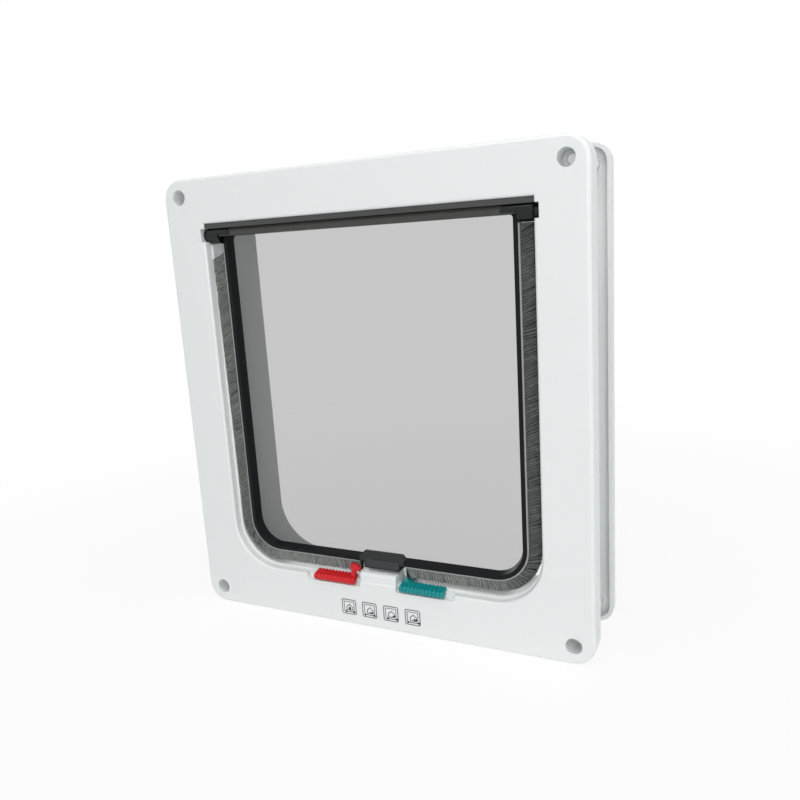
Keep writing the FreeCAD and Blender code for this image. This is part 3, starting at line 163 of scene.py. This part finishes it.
def span(tree, value, low, high, start=0.3, end=0.7):
    """A number that runs from low to high as the value does from start to end."""
    node = tree.nodes.new("ShaderNodeMapRange")
    node.inputs["From Min"].default_value = start
    node.inputs["From Max"].default_value = end
    node.inputs["To Min"].default_value = low
    node.inputs["To Max"].default_value = high
    tree.links.new(value, node.inputs["Value"])
    return node.outputs["Result"]


def reckon(tree, operation, one, other=None):
    """What a Math node makes of one or two numbers."""
    node = tree.nodes.new("ShaderNodeMath")
    node.operation = operation
    tree.links.new(one, node.inputs[0])
    if other:
        tree.links.new(other, node.inputs[1])
    return node.outputs["Value"]


def coordinate(tree, point, axis):
    """One coordinate of a point."""
    node = tree.nodes.new("ShaderNodeSeparateXYZ")
    tree.links.new(point, node.inputs["Vector"])
    return node.outputs[axis]


def sees_white(tree):
    """1 for rays that see the surroundings straight, mirrored or through the pane, and 0 for light."""
    rays = tree.nodes.new("ShaderNodeLightPath")
    seen = reckon(tree, "MAXIMUM", rays.outputs["Is Camera Ray"], rays.outputs["Is Glossy Ray"])
    return reckon(tree, "MAXIMUM", seen, rays.outputs["Is Transmission Ray"])


def bump(tree, height, strength, distance, normal=None):
    """A bump of a real height in metres."""
    node = tree.nodes.new("ShaderNodeBump")
    node.inputs["Strength"].default_value = strength
    node.inputs["Distance"].default_value = distance
    tree.links.new(height, node.inputs["Height"])
    if normal:
        tree.links.new(normal, node.inputs["Normal"])
    return node.outputs["Normal"]


def soft_edges(tree, radius):
    """Normals that round the edges off, as a mould does."""
    node = tree.nodes.new("ShaderNodeBevel")
    node.samples = 6
    node.inputs["Radius"].default_value = radius
    return node.outputs["Normal"]


def moulded(name, colour, spread, roughness, edge, grain=0.00002, specular=0.5):
    """Moulded plastic: a faint unevenness of colour and gloss, a fine grain and rounded edges."""
    material, tree, shader = new_material(name)
    point = object_point(tree)
    cloud = noise(tree, point, 9.0, 1.0)
    fine = noise(tree, point, 1800.0, 2.0)
    dark = tuple(channel * (1.0 - spread) for channel in colour)
    light = tuple(min(1.0, channel * (1.0 + spread)) for channel in colour)
    tree.links.new(ramp(tree, cloud, dark, light), shader.inputs["Base Color"])
    tree.links.new(span(tree, cloud, roughness * 0.95, roughness * 1.05), shader.inputs["Roughness"])
    shader.inputs["Specular IOR Level"].default_value = specular
    rounded = soft_edges(tree, edge)
    tree.links.new(bump(tree, fine, 0.35, grain, rounded), shader.inputs["Normal"])
    return material


def painted_light_above_height(name, low, high, height, roughness, specular):
    """Moulded plastic with a second colour above a height. Where the second colour is paler it is painted
    light, where it is darker it is painted shade, standing in for how light falls on the part above.
    """
    material = moulded(name, low, 0.06, roughness, EDGE, specular=specular)
    tree = material.node_tree
    colour = tree.nodes["Principled BSDF"].inputs["Base Color"]
    blend = tree.nodes.new("ShaderNodeMix")
    blend.data_type = "RGBA"
    blend.inputs["B"].default_value = (*high, 1.0)
    painted_above = span(tree, coordinate(tree, object_point(tree), "Z"), 0.0, 1.0, height, height + 0.1 * MM)
    tree.links.new(painted_above, blend.inputs["Factor"])
    tree.links.new(colour.links[0].from_socket, blend.inputs["A"])
    tree.links.new(blend.outputs["Result"], colour)
    return material


def smoked_pane():
    """Smoked clear plastic, seen through as the photograph shows."""
    material, tree, shader = new_material("smoked_pane")
    point = object_point(tree)
    cloud = noise(tree, point, 30.0)
    colour = ramp(tree, cloud, (0.018, 0.018, 0.017), (0.024, 0.023, 0.022))
    tree.links.new(colour, shader.inputs["Base Color"])
    tree.links.new(span(tree, cloud, 0.05, 0.08), shader.inputs["Roughness"])
    shader.inputs["Alpha"].default_value = 0.25
    shader.inputs["IOR"].default_value = 1.49
    shader.inputs["Specular IOR Level"].default_value = 0.15
    return material


def woven_tape():
    """The pale tape that the bristles are woven into."""
    material, tree, shader = new_material("brush_backing")
    point = object_point(tree)
    weave = tree.nodes.new("ShaderNodeTexWave")
    weave.bands_direction = "Z"
    weave.inputs["Scale"].default_value = 900.0
    weave.inputs["Distortion"].default_value = 2.0
    tree.links.new(point, weave.inputs["Vector"])
    tree.links.new(ramp(tree, weave.outputs["Fac"], (0.25, 0.26, 0.26), (0.42, 0.43, 0.43)),
                   shader.inputs["Base Color"])
    shader.inputs["Roughness"].default_value = 0.75
    tree.links.new(bump(tree, weave.outputs["Fac"], 0.6, 0.0001), shader.inputs["Normal"])
    return material


def bristle_hair(name, painted_side_shade):
    """Grey nylon hairs, each tuft in its own tone, with painted shade up the side: paler along the bottom, as
    if lit from above, than up the side.
    """
    material, tree, shader = new_material(name)
    point = object_point(tree)
    cloud = noise(tree, point, 500.0, 3.0, 0.6)
    grey = ramp(tree, cloud, (0.205, 0.222, 0.212), (0.290, 0.310, 0.296), 0.35, 0.65)
    # Painted shade: the hairs darken from the bottom towards the sides
    across = reckon(tree, "ABSOLUTE", coordinate(tree, point, "X"))
    share = span(tree, across, 1.0, painted_side_shade, *SIDE_SHADE_CORNER)
    tone = tree.nodes.new("ShaderNodeAttribute")
    tone.attribute_name = "tone"
    colour = tree.nodes.new("ShaderNodeVectorMath")
    colour.operation = "SCALE"
    tree.links.new(grey, colour.inputs[0])
    tree.links.new(reckon(tree, "MULTIPLY", share, tone.outputs["Fac"]), colour.inputs["Scale"])
    tree.links.new(colour.outputs["Vector"], shader.inputs["Base Color"])
    shader.inputs["Roughness"].default_value = 0.5
    shader.inputs["Specular IOR Level"].default_value = 0.3
    return material


def sintered_magnet():
    """Grey sintered magnet, slightly rough."""
    material, tree, shader = new_material("magnet")
    grains = noise(tree, object_point(tree), 2500.0)
    tree.links.new(ramp(tree, grains, (0.13, 0.13, 0.14), (0.22, 0.22, 0.23)), shader.inputs["Base Color"])
    shader.inputs["Metallic"].default_value = 0.8
    shader.inputs["Roughness"].default_value = 0.45
    tree.links.new(bump(tree, grains, 0.4, 0.00005), shader.inputs["Normal"])
    return material


# The flap's rim keeps its own near-black; above the rail's underside the rail is painted paler grey, as
# painted light on its upturned face
rim_and_painted_rail_light = ((0.009, 0.010, 0.011), (0.066, 0.067, 0.064))
# The catch keeps its own black; the end caps above the height are painted darker, as painted shade
catch_and_painted_cap_shade = ((0.013, 0.015, 0.015), (0.003, 0.004, 0.004))
materials = {
    "white_plastic": moulded("white_plastic", (0.79, 0.82, 0.815), 0.004, 0.30, 0.0006),
    "dark_plastic": painted_light_above_height("dark_plastic", *rim_and_painted_rail_light, RAIL_LIGHT_LOW, 0.24, 0.10),
    "black_plastic": painted_light_above_height("black_plastic", *catch_and_painted_cap_shade, CAP_SHADE_LOW, 0.22, 0.34),
    "smoked_pane": smoked_pane(),
    "brush_backing": woven_tape(),
    "brush_bristles": bristle_hair("brush_bristles", 0.80),
    "magnet": sintered_magnet(),
    "seal": moulded("seal", (0.070, 0.072, 0.070), 0.10, 0.6, 0.0002, specular=0.2),
    "red_plastic": moulded("red_plastic", (0.60, 0.012, 0.018), 0.03, 0.28, EDGE, specular=0.3),
    "teal_plastic": moulded("teal_plastic", (0.001, 0.235, 0.250), 0.03, 0.28, EDGE, specular=0.3),
}
inks = {
    "signs_outline": moulded("signs_outline", (0.15, 0.16, 0.16), 0.10, 0.45, 0.00005),
    "signs_ink": moulded("signs_ink", (0.020, 0.022, 0.022), 0.15, 0.45, 0.00005, specular=0.2),
}
# The right half's hairs are painted darker still up the side, as painted shadow from the recess's right wall
shaded_bristles = bristle_hair("shaded_bristles", 0.50)
plate_plastic = moulded("plate_plastic", (0.034, 0.040, 0.044), 0.06, 0.34, EDGE, specular=0.3)
# The pile's middle is painted dark, as painted shade deep among the hairs
bristle_core_painted_shade = moulded("bristle_core_painted_shade", (0.022, 0.024, 0.023), 0.10, 0.8, 0.00005, specular=0.1)
for entry in frame["record"]["subparts"]:
    mesh = nodes[entry["node"]].data
    mesh.materials.clear()
    mesh.materials.append(materials[entry["material_slot"]])
nodes["catch_plate"].data.materials[0] = plate_plastic


# Pieces

def new_piece(name, vertices, faces, slot, body):
    """A mesh piece that rides on a body and takes a slot's finish."""
    mesh = bpy.data.meshes.new(name)
    mesh.from_pydata(vertices, [], faces)
    mesh.materials.append(materials[slot])
    piece = bpy.data.objects.new(name, mesh)
    bpy.context.scene.collection.objects.link(piece)
    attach(piece, body)
    return piece


def turn_outwards(mesh):
    """Turns the faces of every closed form outwards."""
    shape = bmesh.new()
    shape.from_mesh(mesh)
    bmesh.ops.recalc_face_normals(shape, faces=shape.faces)
    shape.to_mesh(mesh)
    shape.free()


def brush_path(side):
    """The run of one half of the tape, from its top end round the corner to the catch.

    It gives a function from a distance along the tape and a height above it to X and Z, the whole
    length, and a function that tells how far round the corner a distance is.
    """
    low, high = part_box(f"brush_tape_{side}")
    sign = -1 if side == "left" else 1
    half = max(abs(low[0]), abs(high[0]))
    end = min(abs(low[0]), abs(high[0]))
    centre_x = half - TAPE_RADIUS
    centre_z = low[2] + TAPE_RADIUS
    down = high[2] - centre_z
    bend = TAPE_RADIUS * math.pi / 2

    def place(run, out):
        if run < down:
            return sign * (half + out), high[2] - run
        if run < down + bend:
            angle = (run - down) / TAPE_RADIUS
            reach = TAPE_RADIUS + out
            return sign * (centre_x + reach * math.cos(angle)), centre_z - reach * math.sin(angle)
        return sign * (centre_x - (run - down - bend)), low[2] - out

    def turned(run):
        return min(max((run - down) / bend, 0.0), 1.0)

    return place, down + bend + centre_x - end, turned


def add_skin(faces, first, count, steps):
    """A skin over a row of closed sections of so many points each, with both ends shut."""
    for step in range(steps):
        start = first + step * count
        for corner in range(count):
            following = (corner + 1) % count
            faces.append((start + corner, start + following,
                          start + count + following, start + count + corner))
    faces.append(tuple(first + corner for corner in reversed(range(count))))
    faces.append(tuple(first + steps * count + corner for corner in range(count)))


def add_hair(vertices, faces, spine, along, radius, turn):
    """A three-sided hair through the points of its spine, drawn out to a tip."""
    first = len(vertices)
    for index, point in enumerate(spine[:-1]):
        reach = radius * (1.0 - HAIR_TAPER * index * index)
        for corner in range(3):
            angle = turn + corner * math.tau / 3
            across = reach * math.cos(angle)
            vertices.append((point[0] + along[0] * across, point[1] + reach * math.sin(angle),
                             point[2] + along[1] * across))
    vertices.append(spine[-1])
    tip = len(vertices) - 1
    rings = len(spine) - 1
    for ring in range(rings - 1):
        start = first + ring * 3
        for corner in range(3):
            following = (corner + 1) % 3
            faces.append((start + corner, start + following, start + 3 + following, start + 3 + corner))
    last = first + (rings - 1) * 3
    for corner in range(3):
        faces.append((last + corner, last + (corner + 1) % 3, tip))


def add_core(vertices, faces, place, total, height, lean, depths):
    """The dense middle of the pile, which leans as the hairs do, but stands upright beside the catch."""
    first = len(vertices)
    steps = 120
    front, back = depths
    for step in range(steps + 1):
        run = total * step / steps
        upright = min((total - run) / CORE_END, 1.0)
        shift = min(max(run + lean(run) * height * upright, 0.0), total)
        section = ((run, 0.0, front), (shift, height, front), (shift, height, back), (run, 0.0, back))
        for along, out, depth in section:
            x, z = place(along, out)
            vertices.append((x, depth, z))
    add_skin(faces, first, 4, steps)


def make_bristles(side, seed):
    """One half of the brush as single hairs in small tufts, which lean along the tape."""
    dice = random.Random(seed)
    place, total, turned = brush_path(side)
    low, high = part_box(f"brush_pile_{side}")
    tape_low, tape_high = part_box(f"brush_tape_{side}")
    height = max(abs(low[0]), abs(high[0])) - max(abs(tape_low[0]), abs(tape_high[0]))
    middle = (low[1] + high[1]) / 2
    half_depth = (high[1] - low[1]) / 2
    side_run = high[2] - tape_low[2]
    towards = 1 if side == "left" else -1
    probe = 0.1 * MM

    def lean(run):
        return towards * (SIDE_LEAN[side] + (LOW_LEAN - SIDE_LEAN[side]) * turned(run))

    vertices = []
    faces = []
    core_depth = half_depth * SKIN_SHARE
    core_depths = (middle - core_depth, middle + core_depth)
    add_core(vertices, faces, place, total, height * CORE_SHARE, lean, core_depths)
    core_faces = len(faces)
    tones = [1.0] * len(vertices)
    drift = 0.0
    for tuft in range(round(total / TUFT_PITCH)):
        root = (tuft + 0.5) * TUFT_PITCH
        drift = drift * DRIFT_KEPT + dice.gauss(0.0, DRIFT_STEP)
        if dice.random() < PARTING_SHARE:
            drift += dice.uniform(-PARTING, PARTING)
        tone = TUFT_TONES[tuft % len(TUFT_TONES)] * dice.uniform(0.90, 1.10)
        bow = BOW[side] * max(1.0 - root / side_run, LEAST_BOW)
        full = height * (SIDE_LENGTH + (LOW_LENGTH - SIDE_LENGTH) * turned(root)) * dice.uniform(0.98, 1.0)
        begin = place(root, 0.0)
        ahead = place(root + probe, 0.0)
        along = ((ahead[0] - begin[0]) / probe, (ahead[1] - begin[1]) / probe)
        for index in range(TUFT_HAIRS):
            face = 1 if index % BACK_HAIRS == 0 else -1
            outer = dice.uniform(SKIN_SHARE, 0.97) * face * half_depth
            length = full * dice.uniform(0.95, 1.0)
            slant = lean(root) + drift + dice.gauss(0.0, 0.012)
            spread = dice.gauss(0.0, 0.10) * MM
            spine = []
            for share in HAIR_SPINE:
                run = min(max(root + spread * (0.8 + 0.4 * share) + slant * length * share, 0.0), total)
                x, z = place(run, length * share)
                spine.append((x, middle + outer * (1.0 - 0.04 * share) - bow * share * share, z))
            radius = HAIR_RADIUS * dice.uniform(0.8, 1.2)
            add_hair(vertices, faces, spine, along, radius, dice.uniform(0.0, math.tau))
            tones.extend([tone * dice.uniform(0.85, 1.15)] * (len(vertices) - len(tones)))
    piece = new_piece(f"bristles_{side}", vertices, faces, "brush_bristles", "flap")
    mesh = piece.data
    turn_outwards(mesh)
    # The right half takes the hairs with the darker painted shadow
    if side == "right":
        mesh.materials[0] = shaded_bristles
    # The middle of the pile takes the dark painted shade
    mesh.materials.append(bristle_core_painted_shade)
    slots = [int(index < core_faces) for index in range(len(faces))]
    mesh.polygons.foreach_set("material_index", slots)
    mesh.attributes.new("tone", "FLOAT", "POINT").data.foreach_set("value", tones)
    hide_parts(f"brush_pile_{side}")


def knob_ring(x, inset):
    """One section of a knob: round in front, sloping on top, with a heel that reaches back over the sill."""
    radius = KNOB_NOSE - inset
    ring = [(x, FACE + KNOB_BACK, KNOB_HEIGHT - radius)]
    steps = 20
    for step in range(steps + 1):
        angle = math.pi * 1.5 - math.pi * step / steps
        ring.append((x, FACE + KNOB_DEPTH + radius * math.cos(angle), KNOB_HEIGHT + radius * math.sin(angle)))
    ring.append((x, FACE + KNOB_HEEL, KNOB_TOP - inset))
    ring.append((x, FACE + KNOB_HEEL, HEEL_LOW))
    ring.append((x, FACE + KNOB_BACK, HEEL_LOW))
    return ring


def add_knob(vertices, faces, left):
    """A knob with rounded ridges and rounded ends."""
    per_ridge = 8
    steps = RIDGES * per_ridge
    first = len(vertices)
    for step in range(steps + 1):
        x = KNOB_LENGTH * step / steps
        ridge = math.sqrt(abs(math.sin(math.pi * RIDGES * x / KNOB_LENGTH)))
        rounding = END_ROUND if step in (0, steps) else 0.0
        ring = knob_ring(left + x, RIDGE_HEIGHT * (1.0 - ridge) + rounding)
        vertices.extend(ring)
    add_skin(faces, first, len(ring), steps)


def add_prism(vertices, faces, outline, front, back):
    """An outline in X and Z, in millimetres, made solid between two depths behind the face."""
    first = len(vertices)
    for depth in (front, back):
        for x, z in outline:
            vertices.append((x * MM, FACE + depth * MM, z * MM))
    add_skin(faces, first, len(outline), 1)


def block_outline(left, right, low, high):
    """The outline of a plain block."""
    return [(left, low), (right, low), (right, high), (left, high)]


def make_lock(node, body, slot, left, prisms):
    """One lock: its ribbed knob with the tongue, link and finger that the solid has."""
    vertices = []
    faces = []
    add_knob(vertices, faces, left)
    for outline, front, back in prisms:
        add_prism(vertices, faces, outline, front, back)
    piece = new_piece(f"{node}_ribbed", vertices, faces, slot, body)
    mesh = piece.data
    turn_outwards(mesh)
    mesh.polygons.foreach_set("use_smooth", [True] * len(mesh.polygons))
    mesh.set_sharp_from_angle(angle=math.radians(50))
    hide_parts(node)


def make_locks():
    """Both locks, where their solids are."""
    hook = [(-16.6, 27.0), (-14.4, 27.0), (-14.4, 32.3), (-11.2, 32.3),
            (-11.2, 34.3), (-13.0, 36.1), (-16.6, 36.1)]
    red_tongue = (block_outline(-33.2, -21.2, 24.35, 25.65), 2.4, 8.0)
    red_finger = (hook, 1.0, 3.0)
    red_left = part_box("red_lock")[0][0]
    make_lock("red_lock", "red_slider", "red_plastic", red_left, (red_tongue, red_finger))
    teal_tongue = (block_outline(20.2, 32.2, 24.35, 25.65), 2.4, 8.0)
    teal_link = (block_outline(13.4, 18.2, 27.6, 29.5), 3.2, 13.8)
    teal_finger = (block_outline(12.2, 15.2, 28.5, 36.1), 12.0, 14.0)
    teal_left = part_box("teal_lock")[1][0] - KNOB_LENGTH
    make_lock("teal_lock", "teal_slider", "teal_plastic", teal_left, (teal_tongue, teal_link, teal_finger))


def ink_point(sign, x, z):
    """A point of a sign, in millimetres from its lower left corner, on the face."""
    return ((SIGN_LEFT[sign] + x) * MM, FACE - INK_LIFT, (SIGN_LOW + z) * MM)


def add_area(vertices, faces, sign, outline):
    """A filled shape of a sign, turned to the front."""
    first = len(vertices)
    following = outline[1:] + outline[:1]
    if sum(x * after[1] - after[0] * z for (x, z), after in zip(outline, following)) < 0:
        outline = outline[::-1]
    vertices.extend(ink_point(sign, x, z) for x, z in outline)
    faces.append(tuple(range(first, first + len(outline))))


def add_stroke(vertices, faces, sign, points, width, closed=True):
    """A line of a sign, with mitred corners."""
    count = len(points)
    sides = []
    for index, (x, z) in enumerate(points):
        before = points[index - 1] if closed or index else None
        after = points[(index + 1) % count] if closed or index < count - 1 else None
        normals = []
        for start, end in ((before, (x, z)), ((x, z), after)):
            if start and end:
                run = math.dist(start, end)
                normals.append(((start[1] - end[1]) / run, (end[0] - start[0]) / run))
        across = sum(normal[0] for normal in normals) / len(normals)
        up = sum(normal[1] for normal in normals) / len(normals)
        share = width / 2 / (across ** 2 + up ** 2)
        sides.append(((x + across * share, z + up * share), (x - across * share, z - up * share)))
    for index in range(count if closed else count - 1):
        one, other = sides[index], sides[(index + 1) % count]
        add_area(vertices, faces, sign, [one[0], one[1], other[1], other[0]])


def rounded_square(inset, radius):
    """The outer outline of a sign, drawn in by an inset."""
    points = []
    right, top = SIGN_WIDTH - inset, SIGN_HEIGHT - inset
    centres = ((right - radius, top - radius, 0), (inset + radius, top - radius, 90),
               (inset + radius, inset + radius, 180), (right - radius, inset + radius, 270))
    for x, z, start in centres:
        for step in range(5):
            angle = math.radians(start + 22.5 * step)
            points.append((x + radius * math.cos(angle), z + radius * math.sin(angle)))
    return points


def disc(x, z, across, up):
    """A filled oval's outline."""
    turns = [math.tau * step / 14 for step in range(14)]
    return [(x + across * math.cos(turn), z + up * math.sin(turn)) for turn in turns]


def arrow(x, z, length, thick):
    """An arrow that starts at a point and points to the right."""
    neck = x + length * 0.5
    return [(x, z - thick / 3), (neck, z - thick / 3), (neck, z - thick), (x + length, z),
            (neck, z + thick), (neck, z + thick / 3), (x, z + thick / 3)]


def arrow_head(x, z, way):
    """A triangle that points to the right, or to the left where the way is negative."""
    reach = way * HEAD_SIZE
    return [(x - reach, z - HEAD_SIZE), (x + reach, z), (x - reach, z + HEAD_SIZE)]


def make_signs():
    """The four printed signs for the lock's settings: plain houses with arrows."""
    pale = ([], [])
    dark = ([], [])
    ring = rounded_square(0.3, 0.9)
    inner = [(1.5, 1.9), (1.5, 7.6), (7.7, 7.6), (7.7, 1.9)]
    house = [(3.2, 2.6), (6.8, 2.6), (6.8, 4.5), (5.0, 6.1), (3.2, 4.5)]
    base_line = [(2.0, LINE_HEIGHT), (8.1, LINE_HEIGHT)]
    head_places = (2.2, 7.9)
    ways = ((-1, 1), (1, 1), (-1, -1), (1, -1))
    for sign, arrows in enumerate(ways):
        add_stroke(*pale, sign, ring, 0.6)
        add_stroke(*pale, sign, inner, 0.45, closed=False)
        add_stroke(*dark, sign, house, 0.42)
        add_stroke(*dark, sign, base_line, 0.45, closed=False)
        for x, way in zip(head_places, arrows):
            add_area(*dark, sign, arrow_head(x, LINE_HEIGHT, way))
    add_area(*dark, 0, disc(5.0, 3.6, 0.75, 1.05))
    add_area(*dark, 1, arrow(4.7, 3.1, 2.2, 0.75))
    add_area(*dark, 2, arrow(5.4, 3.3, 2.3, 0.85))
    add_area(*dark, 3, arrow(5.0, 3.3, 2.8, 0.85))
    add_area(*dark, 3, disc(5.6, 3.3, 0.6, 0.55))
    for name, shapes, slot in (("signs_outline", pale, "seal"), ("signs_ink", dark, "black_plastic")):
        piece = new_piece(name, *shapes, slot, "frame")
        piece.data.materials[0] = inks[name]


# Floor, light and camera

def make_floor():
    """A plain pale floor that keeps the object's shadow."""
    half = 4.0
    near, far = 0.16, 0.60
    near_white = 0.89
    mesh = bpy.data.meshes.new("floor")
    corners = [(-half, -half, 0.0), (half, -half, 0.0), (half, half, 0.0), (-half, half, 0.0)]
    mesh.from_pydata(corners, [], [(0, 1, 2, 3)])
    floor = bpy.data.objects.new("floor", mesh)
    bpy.context.scene.collection.objects.link(floor)
    material, tree, shader = new_material("floor")
    shader.inputs["Roughness"].default_value = 0.9
    point = object_point(tree)
    paper = ramp(tree, noise(tree, point, 6.0), (0.895, 0.897, 0.90), (0.90, 0.90, 0.90))
    tree.links.new(paper, shader.inputs["Base Color"])
    distance = tree.nodes.new("ShaderNodeVectorMath")
    distance.operation = "LENGTH"
    tree.links.new(point, distance.inputs[0])
    white = span(tree, distance.outputs["Value"], near_white, 1.0, near, far)
    glow = tree.nodes.new("ShaderNodeEmission")
    blend = tree.nodes.new("ShaderNodeMixShader")
    tree.links.new(reckon(tree, "MULTIPLY", sees_white(tree), white), blend.inputs["Fac"])
    tree.links.new(shader.outputs["BSDF"], blend.inputs[1])
    tree.links.new(glow.outputs["Emission"], blend.inputs[2])
    tree.links.new(blend.outputs["Shader"], tree.nodes["Material Output"].inputs["Surface"])
    mesh.materials.append(material)


def make_world():
    """White where it is seen, and a soft light on the object, strongest from the front and above."""
    brightest_way = (0.35, -0.60, 0.65)
    darkest_share = -0.58
    brightest = 0.62
    front_depth, back_depth = -0.25, 0.25
    world = bpy.data.worlds.new("studio")
    bpy.context.scene.world = world
    world.use_nodes = True
    tree = world.node_tree
    background = tree.nodes["Background"]
    background.inputs["Color"].default_value = (1.0, 1.0, 1.0, 1.0)
    direction = tree.nodes.new("ShaderNodeTexCoord").outputs["Generated"]
    way = tree.nodes.new("ShaderNodeVectorMath")
    way.operation = "DOT_PRODUCT"
    way.inputs[1].default_value = brightest_way
    tree.links.new(direction, way.inputs[0])
    soft = span(tree, way.outputs["Value"], 0.0, brightest, darkest_share, 1.0)
    in_front = span(tree, coordinate(tree, direction, "Y"), 1.0, 0.0, front_depth, back_depth)
    strength = tree.nodes.new("ShaderNodeMapRange")
    tree.links.new(sees_white(tree), strength.inputs["Value"])
    tree.links.new(reckon(tree, "MULTIPLY", soft, in_front), strength.inputs["To Min"])
    tree.links.new(strength.outputs["Result"], background.inputs["Strength"])


def soft_box(name, place, aim, size, power):
    """A square studio lamp at a place, turned to a point."""
    lamp = bpy.data.lights.new(name, "AREA")
    lamp.shape = "SQUARE"
    lamp.size = size
    lamp.energy = power
    item = bpy.data.objects.new(name, lamp)
    item.location = place
    item.rotation_euler = (Vector(aim) - Vector(place)).to_track_quat("-Z", "Y").to_euler()
    bpy.context.scene.collection.objects.link(item)


def make_camera():
    """The photograph's camera."""
    camera = bpy.data.cameras.new("camera")
    camera.lens = CAMERA_LENS
    camera.sensor_width = 36.0
    camera.clip_start = 0.01
    item = bpy.data.objects.new("camera", camera)
    item.location = CAMERA_PLACE
    item.rotation_euler = [math.radians(angle) for angle in CAMERA_TURN]
    bpy.context.scene.collection.objects.link(item)
    bpy.context.scene.camera = item


make_bristles("left", 11)
make_bristles("right", 12)
make_locks()
make_signs()
make_floor()
make_world()
for lamp_name, lamp_place, lamp_aim, lamp_size, lamp_power in LAMPS:
    soft_box(lamp_name, lamp_place, lamp_aim, lamp_size, lamp_power)
make_camera()
bpy.context.scene.view_settings.view_transform = "Standard"
